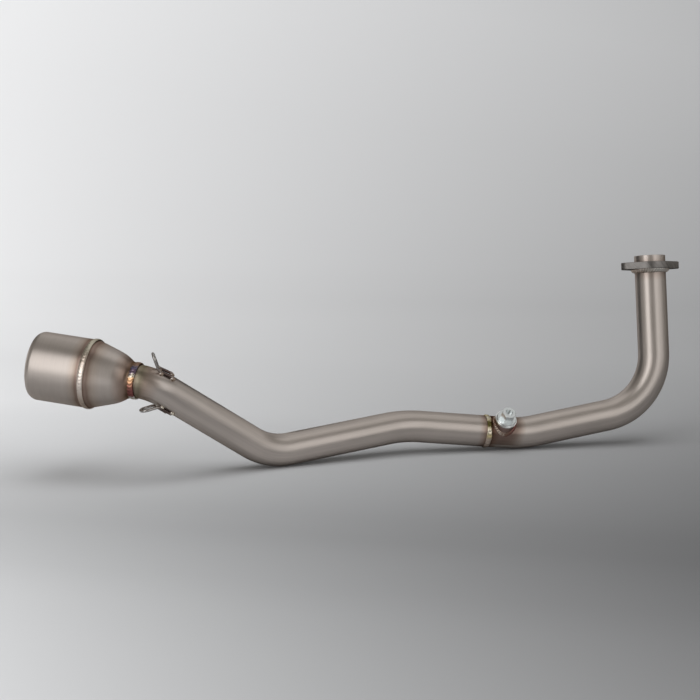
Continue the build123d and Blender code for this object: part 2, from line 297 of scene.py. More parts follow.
cone_loop = np.vstack([bell_line(0), bell_line(SHEET)[::-1]])
cone = carried("reducer_skin", outlet_route, *cone_loop.T, around=160)
print("radius of the bell, mm", round(BELL / MM, 1))

# %% [markdown]
# ## Weld beads
# A hand-laid bead is a row of overlapping drops. Seen from above each drop shows as a crescent, so
# the ripple is drawn as a wave whose phase lags towards the edges of the bead. Its width and its
# line wander a little, because a hand does.

# %% Ripple and wander of a bead
MEAN_WAVE = 0.65


def wander(a, seed, lumps=(2, 3, 5, 9)):
    """Smooth closed wave of an angle, about one high: a sum of a few sines with set phases."""
    waves = [np.sin(k * a + seed * 1.7 + k * k) / (1 + 0.4 * i) for i, k in enumerate(lumps)]
    return sum(waves) / 2


def ripple(a, across, drops, lag=0.55):
    """Round-topped drops with sharp valleys: |sin(n a / 2 + lag x^2)|, x across the bead."""
    return np.abs(np.sin(drops * a / 2 + lag * np.pi * across**2))


def bead_section(width, height, root, count=14):
    """Closed section (x, y, weight): a half ellipse above the metal and a shallow foot below."""
    t = np.linspace(0, np.pi, count)
    top = np.stack([-width / 2 * np.cos(t), height * np.sin(t), np.sin(t)], -1)
    foot = np.array([[width * 0.42, -root, 0.0], [-width * 0.42, -root, 0.0]])
    return np.vstack([top, foot])


# %% [markdown]
# A ring bead carries its section round a tube. Width and height swell by about a tenth, the line
# strays by a third of a millimetre, and the ripple lifts the back of the bead and never its foot.

# %% Beads round the sleeve, the reducer and the tube
WIDTH_SWELL, HEIGHT_SWELL, STRAY = 0.10, 0.12, 0.30 * MM


def ring_bead(name, route, s, radius, section, drops, seed, around, lift=0.34):
    """Bead round a tube: P(a, k) = centre + (R + y_k) ring(a) + x_k heading, rippled by weight."""
    a = np.linspace(0, 2 * np.pi, around, endpoint=False)[:, None]
    x, y, weight = (section[None, :, k] for k in range(3))
    across = x / np.abs(section[:, 0]).max()
    wave = ripple(a, across, drops)
    x = x * (1 + WIDTH_SWELL * wander(a, seed)) + STRAY * wander(a, seed + 4) * weight**0.5
    y = y * (1 + HEIGHT_SWELL * wander(a, seed + 9, (3, 4, 7, 11)) * weight)
    y = y + weight * section[:, 1].max() * lift * (wave - MEAN_WAVE)
    centre, course, top, side = (v[0] for v in route(s))
    ring = top * np.cos(a)[..., None] + side * np.sin(a)[..., None]
    points = centre + ring * (radius + y)[..., None] + course * x[..., None]
    a = np.broadcast_to(a, y.shape)
    rolled = np.stack([s + x, (radius + y) * np.cos(a), (radius + y) * np.sin(a)], -1)
    return skin(name, points, rolled, sharp=80)


sleeve_bead = ring_bead(
    "sleeve_bead", outlet_route, SLEEVE_LENGTH, SLEEVE_RADIUS,
    bead_section(5.8 * MM, 0.95 * MM, 0.5 * MM), 62, 1.0, 992, 0.22,
)
cone_bead = ring_bead(
    "reducer_bead", outlet_route, CONE_END + 1.7 * MM, TUBE_RADIUS + 1.0 * MM,
    bead_section(7.2 * MM, 0.9 * MM, 1.4 * MM), 30, 2.0, 792, 0.5,
)
tube_bead = ring_bead(
    "tube_bead", front_route, -0.8 * MM, TUBE_RADIUS,
    bead_section(5.6 * MM, 0.95 * MM, 0.6 * MM), 26, 3.0, 880, 0.5,
)

# %% [markdown]
# The flange is welded on its underside only, where the face that meets the engine stays flat. That
# bead fills the corner between plate and tube.

# %% Fillet bead under the flange
FLANGE_S = front_route.length - SPIGOT - PLATE
LEG, HOLLOW, ROOT = 4.2 * MM, 0.12, 0.3 * MM
t = np.linspace(0, np.pi / 2, 12)
reach = LEG * (1 - HOLLOW * np.sin(2 * t))
corner_section = np.vstack([
    np.stack([-reach * np.cos(t), reach * np.sin(t), np.sin(2 * t)], -1),
    [[ROOT, LEG * 0.9, 0.0], [ROOT, -ROOT, 0.0], [-LEG * 0.9, -ROOT, 0.0]],
])
flange_bead = ring_bead(
    "flange_bead", front_route, FLANGE_S, TUBE_RADIUS, corner_section, 40, 5.0, 760
)

# %% [markdown]
# The sensor boss stands on the side of the tube, so the foot of its weld is a saddle. It is worked
# out as a circle round the boss, with each point dropped along the boss's axis onto the tube.

# %% Saddle bead of the sensor boss
BOSS_RADIUS, SADDLE_ROOT = 23.5 / 2 * MM, 0.5 * MM
SENSOR_TILT = np.radians(44.0)
sensor_foot = joint + middle_course * JOINT_TO_SENSOR
near = unit(np.cross(middle_course, UP))
sensor_up = np.cross(near, middle_course)
sensor_axis = sensor_up * np.cos(SENSOR_TILT) + near * np.sin(SENSOR_TILT)
sensor_across = np.cross(sensor_axis, middle_course)


def saddle_bead(name, reach, height, drops, around, seed):
    """P(a, k) = foot + (R_boss + x) circle(a) + (sqrt(R^2 - (R_boss + x)^2 sin^2 a) + y) axis."""
    a = np.linspace(0, 2 * np.pi, around, endpoint=False)[:, None]
    t = np.linspace(-0.12, np.pi / 2 + 0.12, 12)
    x = np.concatenate([reach * np.cos(t), [-SADDLE_ROOT, -SADDLE_ROOT]])[None]
    y = np.concatenate([height * np.sin(t), [height * 0.9, -SADDLE_ROOT]])[None]
    weight = np.concatenate([np.clip(np.sin(2 * t), 0, 1), [0, 0]])[None]
    wave = ripple(a, x / reach - 0.5, drops, 0.8)
    swell = 1 + weight * (WIDTH_SWELL * wander(a, seed) + 0.40 * (wave - MEAN_WAVE))
    x, y = x * swell, y * swell
    r = BOSS_RADIUS + x
    on_tube = np.sqrt(TUBE_RADIUS**2 - (r * np.sin(a)) ** 2)
    circle = middle_course * np.cos(a)[..., None] + sensor_across * np.sin(a)[..., None]
    points = sensor_foot + circle * r[..., None] + sensor_axis * (on_tube + y)[..., None]
    a = np.broadcast_to(a, r.shape)
    rolled = np.stack([np.broadcast_to(y, r.shape), r * np.cos(a), r * np.sin(a)], -1)
    return skin(name, points, rolled, sharp=80)


boss_bead = saddle_bead("boss_bead", 2.0 * MM, 2.1 * MM, 30, 600, 6.0)

# %% [markdown]
# ## Spring hooks
# Each hook is one length of 3 mm wire, bent into a U whose closed end leans out towards the
# sleeve. The ends of a cut wire are round, so the radius falls to nothing there on a quarter
# circle.

# %% Hooks of bent wire
WIRE = 1.5 * MM
HOOK_SPACING, HOOK_LEG, HOOK_ARM = 12.0 * MM, 17.0 * MM, 17.5 * MM
HOOK_RISE = np.radians(44.0)
HOOK_BENDS = [6.0 * MM, 5.6 * MM, 5.6 * MM, 6.0 * MM]
HOOK_SEAT = TUBE_RADIUS + WIRE + 0.06 * MM
POLE = 0.01 * MM
HOOKS = {"upper": (29.3 * MM, np.radians(12.0)), "lower": (46.5 * MM, np.radians(180.0))}


def hook_corners(station, clock):
    """Six corners of the bent wire, its heading along the tube and its direction outwards."""
    centre, heading = (v[0] for v in rear_route(station)[:2])
    level = unit(np.cross(heading, UP))
    out = np.cross(level, heading) * np.cos(clock) + level * np.sin(clock)
    across = np.cross(heading, out)
    half = HOOK_SPACING / 2
    knee = centre + out * np.sqrt(HOOK_SEAT**2 - half**2) - heading * HOOK_LEG / 2
    loop = knee + (out * np.sin(HOOK_RISE) - heading * np.cos(HOOK_RISE)) * HOOK_ARM
    spine = [knee + heading * HOOK_LEG, knee, loop]
    corners = [p + across * half for p in spine] + [p - across * half for p in spine[::-1]]
    return corners, heading, out


def wire_line(length):
    """Open (s, r) profile of a wire: a quarter circle, the straight side, a quarter circle."""
    q = np.linspace(0, np.pi / 2, 7)
    start = np.stack([WIRE * 0.6 * (1 - np.cos(q)), WIRE * np.sin(q)], -1)
    middle = np.linspace(WIRE, length - WIRE, int(length / (0.6 * MM)))
    body = np.stack([middle, np.full_like(middle, WIRE)], -1)
    end = np.stack([length - start[::-1, 0], start[::-1, 1]], -1)
    return np.vstack([start, body, end])


def wire_skin(name, route, around=28):
    """The line of a wire carried round, and back along a hair-thin core, so the loop closes."""
    s, r = wire_line(route.length).T
    r = np.maximum(r, POLE)
    s = np.concatenate([s, s[::-1]])
    r = np.concatenate([r, np.full(len(r), POLE)])
    return carried(name, route, s, r, around)


hooks = {}
for where, (station, clock) in HOOKS.items():
    points, heading, out = hook_corners(station, clock)
    route = Route(points, HOOK_BENDS)
    hooks[where] = (wire_skin(where + "_hook_wire", route), points, heading, out)
hook_length = route.length
print("wire in one hook, mm", round(hook_length / MM, 1))

# %% [markdown]
# The wire is held by tack welds: small drops where each leg ends and near each knee. A drop is a
# flattened ball with a few rings of ripple round its top.

# %% Tack welds
TACK_SIZES = [2.5 * MM, 2.3 * MM, 2.5 * MM, 2.1 * MM]
PAST_KNEE = 3.5 * MM


def drop_grid(centre, up, along, size, seed):
    """P(u, v) on an uneven ball: centre + R (cos u sin v A + sin u sin v B + cos v C)."""
    u = np.linspace(0, 2 * np.pi, 32, endpoint=False)[None, :]
    v = np.linspace(0.03, np.pi - 0.03, 24)[:, None]
    rings = 1 + 0.05 * np.cos(v * 14 + seed) + 0.07 * wander(u, seed) * np.sin(v)
    shape = size * rings
    across = np.cross(up, along)
    ball = (
        along * (np.cos(u) * np.sin(v) * 1.15)[..., None]
        + across * (np.sin(u) * np.sin(v))[..., None]
        + up * (np.cos(v) * 0.85 + 0 * u)[..., None]
    )
    points = centre + ball * shape[..., None]
    rolled = np.stack([shape * np.cos(v), shape * np.cos(u), shape * np.sin(u)], -1)
    return points, rolled


def tacks(name, corners, heading, out, seed):
    """Four drops in one mesh, each grid closed by a seam through its own poles."""
    knees = [corners[1] + heading * PAST_KNEE, corners[-2] + heading * PAST_KNEE]
    made = []
    for i, (spot, size) in enumerate(zip([corners[0], corners[-1], *knees], TACK_SIZES)):
        centre = spot - out * (WIRE * 0.95)
        made.append(skin(f"{name}_{i}", *drop_grid(centre, out, heading, size, seed + i), 80))
    with bpy.context.temp_override(
        active_object=made[0], object=made[0],
        selected_objects=made, selected_editable_objects=made,
    ):
        bpy.ops.object.join()
    made[0].name = made[0].data.name = name
    return made[0]


upper_tacks = tacks("upper_hook_drops", *hooks["upper"][1:], 1.0)
lower_tacks = tacks("lower_hook_drops", *hooks["lower"][1:], 7.0)

# %% [markdown]
# ## Shader maths
# Heat tint and brushing are sums and products of distances. To write them as plain maths, a small
# class wraps a socket and adds a Math node for each operator. A second one holds a material. All
# the metal shares one edge tint: bare metal turns white at a grazing angle, but oxide and brushing
# keep the edges of this header dull.

# %% A value that varies over a surface
EDGE_TINT = (0.35, 0.33, 0.31, 1.0)


def both_ways(operation):
    """An operator and its reflected form: one Math node, with the other value second or first."""
    return (
        lambda this, other: this.maths(operation, this, other),
        lambda this, other: this.maths(operation, other, this),
    )


class Varies:
    """Wraps an output socket, so that a + b, 1 - a or a * b adds its Math node."""

    __add__, __radd__ = both_ways("ADD")
    __sub__, __rsub__ = both_ways("SUBTRACT")
    __mul__, __rmul__ = both_ways("MULTIPLY")
    __truediv__, __rtruediv__ = both_ways("DIVIDE")
    __pow__, __rpow__ = both_ways("POWER")

    def __init__(self, finish, socket):
        self.finish, self.socket = finish, socket

    def maths(self, operation, *values):
        """The result of one Math node."""
        node = self.finish.node("Math", {"operation": operation}, *values)
        return Varies(self.finish, node.outputs[0])

    def less(self, other):
        return self.maths("LESS_THAN", self, other)

    def at_least(self, other):
        return self.maths("MAXIMUM", self, other)

    def at_most(self, other):
        return self.maths("MINIMUM", self, other)

    def __abs__(self):
        return self.maths("ABSOLUTE", self)


class Finish:
    """One material and its nodes."""

    def __init__(self, name):
        self.material = bpy.data.materials.new(name)
        self.material.use_nodes = True
        self.tree = self.material.node_tree
        self.tree.nodes.clear()

    def node(self, kind, settings=None, *by_order, **by_name):
        """Adds a node: its settings first, then values or links for its sockets."""
        node = self.tree.nodes.new("ShaderNode" + kind)
        for key, value in (settings or {}).items():
            if key == "stops":
                ramp = node.color_ramp
                while len(ramp.elements) > 1:
                    ramp.elements.remove(ramp.elements[-1])
                for i, (place, colour) in enumerate(value):
                    stop = ramp.elements[0] if i == 0 else ramp.elements.new(place)
                    stop.position, stop.color = place, (*colour, 1.0)
            else:
                setattr(node, key, value)
        named = [(node.inputs[k], v) for k, v in enumerate(by_order)]
        named += [(node.inputs[k.replace("_", " ")], v) for k, v in by_name.items()]
        for socket, value in named:
            self.feed(socket, value)
        return node

    def feed(self, socket, value):
        """Links a socket to what drives it, or sets its own value."""
        if isinstance(value, Varies):
            value = value.socket
        if isinstance(value, bpy.types.NodeSocket):
            self.tree.links.new(value, socket)
        else:
            socket.default_value = value

    def parts(self, where):
        """A vector as three values."""
        parts = self.node("SeparateXYZ", None, where)
        return [Varies(self, parts.outputs[k]) for k in range(3)]

    def rolled(self):
        """The attribute rolled, as (distance along, cos part, sin part)."""
        return self.parts(self.node("Attribute", {"attribute_name": "rolled"}).outputs["Vector"])

    def place(self):
        """Object coordinates as three values."""
        return self.parts(self.node("TexCoord").outputs["Object"])

    def vector(self, x, y, z):
        """Three values as one vector, or as one colour."""
        return self.node("CombineXYZ", None, x, y, z).outputs[0]

    def noise(self, x, y, z, detail=3.0, rough=0.5):
        """Noise read at (x, y, z), about 0.5 in the middle."""
        node = self.node(
            "TexNoise", None, Vector=self.vector(x, y, z), Scale=1.0, Detail=detail,
            Roughness=rough,
        )
        return Varies(self, node.outputs[0])

    def ramp(self, value, stops):
        """A colour that goes through the given (place, colour) stops."""
        return self.node("ValToRGB", {"stops": stops}, value).outputs[0]

    def level(self, value, stops):
        """A number that goes through the given (place, number) stops."""
        return Varies(self, self.ramp(value, [(at, (v, v, v)) for at, v in stops]))

    def mix(self, factor, one, other, blend="MIX"):
        """Colour one goes over to the other as the factor goes from 0 to 1."""
        node = self.node("Mix", {"data_type": "RGBA", "blend_type": blend})
        for k, value in ((0, factor), (6, one), (7, other)):
            self.feed(node.inputs[k], (*value, 1.0) if isinstance(value, tuple) else value)
        return node.outputs[2]

    def bump(self, height, distance, strength):
        """Normals as if the surface rose by height times distance."""
        node = self.node("Bump", None, Height=height, Distance=distance, Strength=strength)
        return node.outputs[0]

    def metal(self, colour, roughness, normal):
        """Principled metal whose grazing edges stay dull, wired to the output."""
        shader = self.node(
            "BsdfPrincipled", None, Base_Color=colour, Roughness=roughness, Metallic=1.0,
            Specular_Tint=EDGE_TINT, Normal=normal,
        )
        self.node("OutputMaterial", None, shader.outputs[0])
        return self.material


# %% [markdown]
# ## Brushed steel
# The sheet and the tube are finished with a fine belt, which leaves scratches: long in one
# direction, hair-thin in the other. They could be an image, but noise stretched along the rolled
# attribute follows every bend and never repeats. On the tubes the scratches run lengthwise, and on
# the sleeve and the reducer they run round.

# %% Brushed steel
STEEL = (0.578, 0.516, 0.472)


def brushed(f, lengthwise, rough=0.37):
    """Colour, roughness and bump of belt scratches along (or round) the tube, on a finish f."""
    s, y, z = f.rolled()
    if lengthwise:
        grain = f.noise(s * 45, y * 2400, z * 2400, detail=4.0)
        streak = f.noise(s * 6, y * 300, z * 300, detail=2.0)
        depth = 0.36
    else:
        turn = y.maths("ARCTAN2", z, y)
        grain = f.noise(s * 1300, turn * 2.0, 0.0)
        streak = f.noise(s * 260, turn * 0.8, 3.0, detail=2.0)
        depth = 0.12
    cloud = f.noise(s * 22, y * 34, z * 34)
    shade = 0.83 - depth / 2 + grain * 0.16 + streak * depth + cloud * 0.18
    colour = f.mix(1.0, STEEL, f.vector(shade, shade, shade), "MULTIPLY")
    roughness = rough - 0.13 + grain * 0.08 + cloud * 0.10 + streak * 0.08
    return colour, roughness, f.bump(grain + streak * 0.5, 0.02 * MM, 0.6)


# %% [markdown]
# ## Heat tint
# Beside each weld the steel was hot enough to grow a skin of oxide. Its colour depends only on how
# hot it got, so it runs in bands at set distances from the bead: dark brown nearest, then olive or
# straw, a paler brown, and bare steel. Each list below is one row of bands, as tints that multiply
# the steel's own colour, from the weld at 0 to untouched metal at 1.

# %% Heat tint at a distance from a weld
def tinted(f, colour, away, stops, strength=1.0):
    """Colour times the oxide's tint at that distance, which is 1 at the last stop."""
    return f.mix(strength, colour, f.ramp(away, stops), "MULTIPLY")


def waver(f, scale, amount):
    """A slow shift of a tint's edge, so that the bands aren't ruled."""
    s, y, z = f.rolled()
    return (f.noise(s * scale, y * scale, z * scale, detail=2.0) - 0.5) * amount


SLEEVE_TINT = [
    (0.00, (0.50, 0.40, 0.30)), (0.12, (0.42, 0.31, 0.26)), (0.24, (0.60, 0.50, 0.46)),
    (0.34, (0.52, 0.42, 0.38)), (0.44, (0.72, 0.64, 0.58)), (0.62, (0.92, 0.87, 0.83)),
    (1.00, (1.0, 1.0, 1.0)),
]
RING_TINT = [
    (0.00, (0.36, 0.26, 0.18)), (0.14, (0.30, 0.24, 0.20)), (0.26, (0.52, 0.50, 0.40)),
    (0.36, (0.40, 0.38, 0.30)), (0.50, (0.66, 0.58, 0.52)), (0.70, (0.84, 0.78, 0.74)),
    (1.00, (1.0, 1.0, 1.0)),
]
JOINT_TINT = [
    (0.00, (0.26, 0.19, 0.13)), (0.18, (0.30, 0.22, 0.17)), (0.34, (0.50, 0.40, 0.35)),
    (0.52, (0.70, 0.60, 0.55)), (0.75, (0.88, 0.82, 0.79)), (1.00, (1.0, 1.0, 1.0)),
]
BOSS_TINT = [
    (0.00, (0.37, 0.28, 0.25)), (0.30, (0.43, 0.35, 0.32)), (0.55, (0.62, 0.55, 0.51)),
    (0.80, (0.85, 0.81, 0.78)), (1.00, (1.0, 1.0, 1.0)),
]

# %% [markdown]
# The sleeve is tinted at one end and the reducer at both. A tint is read at the distance from the
# weld over the width of its bands, 11 to 24 mm, and a slow noise shifts their edges.

# %% Sleeve finish
f = Finish("brushed_sleeve")
s = f.rolled()[0]
colour, roughness, relief = brushed(f, False)
near_seam = abs(s - SLEEVE_LENGTH) / (16 * MM) + waver(f, 60, 0.20)
colour = tinted(f, colour, near_seam, SLEEVE_TINT)
sleeve_finish = f.metal(colour, roughness, relief)

# %% Reducer finish, tinted from both ends
f = Finish("brushed_reducer")
s = f.rolled()[0]
colour, roughness, relief = brushed(f, False)
near_seam = abs(s - SLEEVE_LENGTH) / (20 * MM) + waver(f, 60, 0.24)
colour = tinted(f, colour, near_seam, SLEEVE_TINT)
near_ring = abs(s - CONE_END) / (17 * MM) + waver(f, 80, 0.20)
colour = tinted(f, colour, near_ring, JOINT_TINT)
cone_finish = f.metal(colour, roughness, relief)

# %% [markdown]
# The rear tube is tinted by the ring weld and the joint, and the front tube by the joint, the
# flange and the sensor boss. Round the boss the distance is measured from the boss's own axis, and
# only on its side of the tube.

# %% Rear tube finish
f = Finish("brushed_rear_tube")
s = f.rolled()[0]
colour, roughness, relief = brushed(f, True)
near_ring = abs(s - TUBE_INSERTION) / (24 * MM) + waver(f, 90, 0.16)
colour = tinted(f, colour, near_ring, RING_TINT)
near_joint = (rear_route.length - s) / (12 * MM) + waver(f, 90, 0.20)
colour = tinted(f, colour, near_joint, JOINT_TINT)
rear_finish = f.metal(colour, roughness, relief)

# %% Front tube finish
f = Finish("brushed_front_tube")
s, y, z = f.rolled()
colour, roughness, relief = brushed(f, True)
near_joint = s / (11 * MM) + waver(f, 90, 0.20)
colour = tinted(f, colour, near_joint, JOINT_TINT)
sensor_clock = y * np.cos(SENSOR_TILT) + z * np.sin(SENSOR_TILT)
beside = z * np.cos(SENSOR_TILT) - y * np.sin(SENSOR_TILT)
spread = ((s - JOINT_TO_SENSOR) ** 2 + beside**2) ** 0.5
near_boss = (spread - BOSS_RADIUS) / (16 * MM) + waver(f, 90, 0.20) + sensor_clock.less(0) * 2
colour = tinted(f, colour, near_boss, BOSS_TINT)
near_flange = abs((FLANGE_S - s) / (14 * MM) + waver(f, 90, 0.20))
colour = tinted(f, colour, near_flange, JOINT_TINT, 0.55)
front_finish = f.metal(colour, roughness, relief)
print("nodes in the front tube's finish:", len(f.tree.nodes))

# %% [markdown]
# ## Weld metal
# The bead itself cools last. Where it was shielded it stays silver, and elsewhere it is straw,
# gold or violet, in patches that change round the joint. A ramp of the clock angle says which
# colour is where, with 0.5 on top, 0.75 on the near side and 1 below, and noise breaks its edges.

# %% Colours of the beads
def weld_metal(name, stops, rough=0.24, patchy=0.10):
    """Bead whose colour goes round the joint: a ramp of the clock angle, broken by noise."""
    f = Finish(name)
    s, y, z = f.rolled()
    clock = y.maths("ARCTAN2", z, y) / (2 * np.pi) + 0.5
    patches = f.noise(s * 300, y * 300, z * 300)
    colour = f.ramp(clock + (patches - 0.5) * patchy, stops)
    shade = 0.70 + patches * 0.6
    colour = f.mix(1.0, colour, f.vector(shade, shade, shade), "MULTIPLY")
    fine = f.noise(s * 2500, y * 2500, z * 2500, detail=2.0)
    return f.metal(colour, rough + patches * 0.14, f.bump(fine, 0.03 * MM, 0.4))


SILVER, PEARL, CREAM = (0.78, 0.75, 0.70), (0.88, 0.78, 0.70), (0.84, 0.76, 0.62)
STRAW, GOLD, OLIVE = (0.82, 0.72, 0.50), (0.70, 0.58, 0.30), (0.15, 0.13, 0.045)
TAN, BROWN, MAROON = (0.62, 0.51, 0.43), (0.30, 0.20, 0.15), (0.26, 0.10, 0.09)
STONE, VIOLET, BLUE = (0.62, 0.57, 0.46), (0.20, 0.14, 0.19), (0.15, 0.15, 0.24)
ORANGE, RUST = (0.84, 0.50, 0.27), (0.50, 0.24, 0.16)
sleeve_bead_finish = weld_metal("weld_on_sleeve", [
    (0.00, TAN), (0.20, PEARL), (0.34, CREAM), (0.44, STONE), (0.52, STONE), (0.60, STONE),
    (0.66, TAN), (0.71, PEARL), (0.80, PEARL), (0.86, TAN), (1.00, TAN),
])
cone_bead_finish = weld_metal("weld_on_reducer", [
    (0.00, SILVER), (0.10, MAROON), (0.20, GOLD), (0.30, VIOLET), (0.42, BROWN),
    (0.56, BROWN), (0.60, BLUE), (0.63, VIOLET), (0.655, VIOLET), (0.68, CREAM),
    (0.71, ORANGE), (0.76, RUST), (0.80, MAROON), (0.87, MAROON), (0.90, SILVER),
    (0.94, STONE), (1.00, SILVER),
], patchy=0.08)
tube_bead_finish = weld_metal("weld_on_tube", [
    (0.00, BROWN), (0.15, STRAW), (0.35, GOLD), (0.48, GOLD), (0.56, STONE), (0.60, STRAW),
    (0.625, OLIVE), (0.665, OLIVE), (0.69, STRAW), (0.73, CREAM), (0.77, GOLD), (0.81, TAN),
    (0.90, TAN), (1.00, BROWN),
], patchy=0.07)
boss_bead_finish = weld_metal("weld_on_boss", [
    (0.00, BROWN), (0.18, TAN), (0.24, BROWN), (0.42, MAROON), (0.55, BROWN), (0.64, RUST),
    (0.70, BROWN), (0.78, TAN), (0.84, BROWN), (0.90, TAN), (1.00, BROWN),
], rough=0.16, patchy=0.40)
flange_bead_finish = weld_metal("weld_on_flange", [
    (0.00, TAN), (0.25, SILVER), (0.50, TAN), (0.75, SILVER), (1.00, TAN),
])
tack_finish = weld_metal("tack_weld", [
    (0.00, SILVER), (0.30, BROWN), (0.50, STONE), (0.70, CREAM), (1.00, SILVER),
], patchy=0.5)

# %% [markdown]
# ## Wire
# The hooks are drawn wire. Along the legs, which lie against the tube, the colour is painted near
# black, partly heat tint from the tacks and partly painted shade; the loop keeps the wire's bare
# colour. The colour is read from the nearer end of the wire, so both legs of a hook match.

# %% Hook wire
f = Finish("drawn_wire")
s, y, z = f.rolled()
grain = f.noise(s * 300, y * 4000, z * 4000)
patches = f.noise(s * 160, 0.0, 5.0, detail=2.0)
from_end = (s.at_most(hook_length - s) + (patches - 0.5) * 3 * MM) / (40 * MM)
# Near black along the legs: heat tint and painted shade where the legs lie against the tube.
colour = f.ramp(from_end, [
    (0.00, (0.40, 0.34, 0.30)), (0.10, (0.14, 0.10, 0.09)), (0.30, (0.12, 0.09, 0.08)),
    (0.42, (0.30, 0.25, 0.22)), (0.55, (0.42, 0.39, 0.37)), (1.00, (0.50, 0.48, 0.46)),
])
wire_finish = f.metal(colour, 0.20 + grain * 0.12, f.bump(grain, 0.02 * MM, 0.5))

# %% [markdown]
# ## Flange plate
# The flange is sawn from plate and left darker than the tube, with coarse slanting marks across its
# edge, and its colour darkens towards its lower face. It is a solid of the frame that keeps its
# shape, so its finish reads Object coordinates.

# %% Flange plate
FLANGE_STEEL = (0.280, 0.262, 0.248)
f = Finish("sawn_plate")
x, y, z = f.place()
slant = (x + z * 0.8) * 420
saw = f.noise(slant, y * 60, (z - x) * 60, detail=4.0, rough=0.7)
blotch = f.noise(x * 90, y * 90, z * 90)
# The colour darkens towards the bottom of the plate.
foot = f.level((z + PLATE) / PLATE, [(0.05, 0.35), (0.35, 1.0)])
shade = (saw * 1.3 + blotch * 0.6 - 0.05) * foot
colour = f.mix(1.0, FLANGE_STEEL, f.vector(shade, shade, shade), "MULTIPLY")
flange_finish = f.metal(colour, 0.34 + saw * 0.16, f.bump(saw, 0.1 * MM, 0.6))

# %% [markdown]
# ## Boss, plug and washer
# The boss is turned, so its marks depend only on the height along its axis. The weld has browned
# its foot. The plug is plated with bright zinc, and the washer under it is plain bright steel.

# %% Boss, washer and plug
def along(f, origin, axis):
    """Distance along an axis from an origin, on Object coordinates: (P - O) . A."""
    x, y, z = f.place()
    return (x - origin[0]) * axis[0] + (y - origin[1]) * axis[1] + (z - origin[2]) * axis[2]


f = Finish("turned_boss")
height = along(f, sensor_foot, sensor_axis)
rings = f.noise(height * 5000, 0.0, 0.0)
x, y, z = f.place()
stain = f.noise(x * 120, y * 120, z * 120)
colour = f.ramp(stain + (height - TUBE_RADIUS) * 40, [
    (0.30, (0.26, 0.16, 0.13)), (0.55, (0.40, 0.27, 0.23)), (0.80, (0.46, 0.36, 0.32)),
])
boss_finish = f.metal(colour, 0.30 + rings * 0.14, f.bump(rings, 0.04 * MM, 0.5))


def plated(name, grain, dark, pale, rough, patchy, relief):
    """Bright plating: colour, roughness and relief all follow one mottle."""
    f = Finish(name)
    x, y, z = f.place()
    mottle = f.noise(x * grain, y * grain, z * grain)
    colour = f.ramp(mottle, [(0.25, dark), (0.75, pale)])
    return f.metal(colour, rough + mottle * patchy, f.bump(mottle, relief, 0.4))


ZINC, WASHER = ((0.74, 0.78, 0.78), (0.90, 0.92, 0.92)), ((0.84, 0.84, 0.83), (0.95, 0.95, 0.94))
zinc_finish = plated("bright_zinc", 260, *ZINC, 0.24, 0.16, 0.05 * MM)
washer_finish = plated("bright_washer", 500, *WASHER, 0.20, 0.10, 0.03 * MM)

# %% [markdown]
# ## Dressing
# Each new surface takes its finish, rides on the one rigid body and hides the solid it stands for.
# The flange, the boss, the plug and the washer have the right shape already, so those solids stay
# and only take a finish.

# %% Dress the pieces
def dress(piece, finish, node):
    """Gives a new piece its finish, lets it ride and hides the solid it stands for."""
    piece.data.materials.clear()
    piece.data.materials.append(finish)
    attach(piece, "root")
    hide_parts(node)


dress(rear, rear_finish, "rear_tube")
dress(front, front_finish, "front_tube")
dress(sleeve, sleeve_finish, "outlet_sleeve")
dress(cone, cone_finish, "reducer_cone")
dress(sleeve_bead, sleeve_bead_finish, "sleeve_weld")
dress(cone_bead, cone_bead_finish, "cone_weld")
dress(tube_bead, tube_bead_finish, "tube_weld")
dress(flange_bead, flange_bead_finish, "flange_weld")
dress(boss_bead, boss_bead_finish, "boss_weld")
dress(upper_tacks, tack_finish, "upper_hook_tacks")
dress(lower_tacks, tack_finish, "lower_hook_tacks")
dress(hooks["upper"][0], wire_finish, "upper_spring_hook")
dress(hooks["lower"][0], wire_finish, "lower_spring_hook")

kept = {
    "port_flange": flange_finish,
    "sensor_boss": boss_finish,
    "sensor_plug": zinc_finish,
    "sealing_washer": washer_finish,
}
for node, finish in kept.items():
    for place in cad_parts[node].material_slots:
        place.material = finish
print("finishes:", len(bpy.data.materials))

# %% [markdown]
# ## Camera
# The photograph was taken from a little above with a long lens, nearly level with the header. The
# lens is read off it in pixels of the frame, and then turned into millimetres on the sensor.

# %% Camera
SENSOR, LENS_PIXELS, FRAME_PIXELS = 36.0, 2000, 700
CAMERA = np.array([-0.80358, -2.14114, 0.25538])
VIEW = np.array([0.20537861, 0.96623037, -0.15562293])
camera = placed("camera", bpy.data.cameras.new("camera"))
camera.data.sensor_width, camera.data.lens = SENSOR, SENSOR * LENS_PIXELS / FRAME_PIXELS
camera.location = CAMERA
camera.rotation_mode = "QUATERNION"
camera.rotation_quaternion = Vector(VIEW).to_track_quat("-Z", "Y")
camera.data.clip_end = 50
bpy.context.scene.camera = camera
print("lens, mm", round(camera.data.lens, 1))

# %% [markdown]
# ## Studio
# Metal shows what stands round it, so the studio is a piece of work of its own. A sheet of pale
# paper lies under the header and sweeps up into a wall behind it, so no corner shows. It is a
# profile of floor, quarter circle and wall, drawn along its width.

# %% Floor that sweeps up into a wall
FLOOR = -202.3 * MM
SWING = np.radians(12.0)
RIGHT = np.array([np.cos(SWING), -np.sin(SWING), 0.0])
AWAY = np.array([np.sin(SWING), np.cos(SWING), 0.0])
CENTRE = np.array([-0.33, -0.05, FLOOR])


def studio(right, away, up):
    """A point of the studio: right and away as the camera sees them, up from the floor."""
    return CENTRE + RIGHT * right + AWAY * away + UP * up


NEAR_EDGE, BEND_START, BEND, WALL_TOP, HALF_WIDTH = -3.5, 1.3, 0.8, 3.2, 1.36


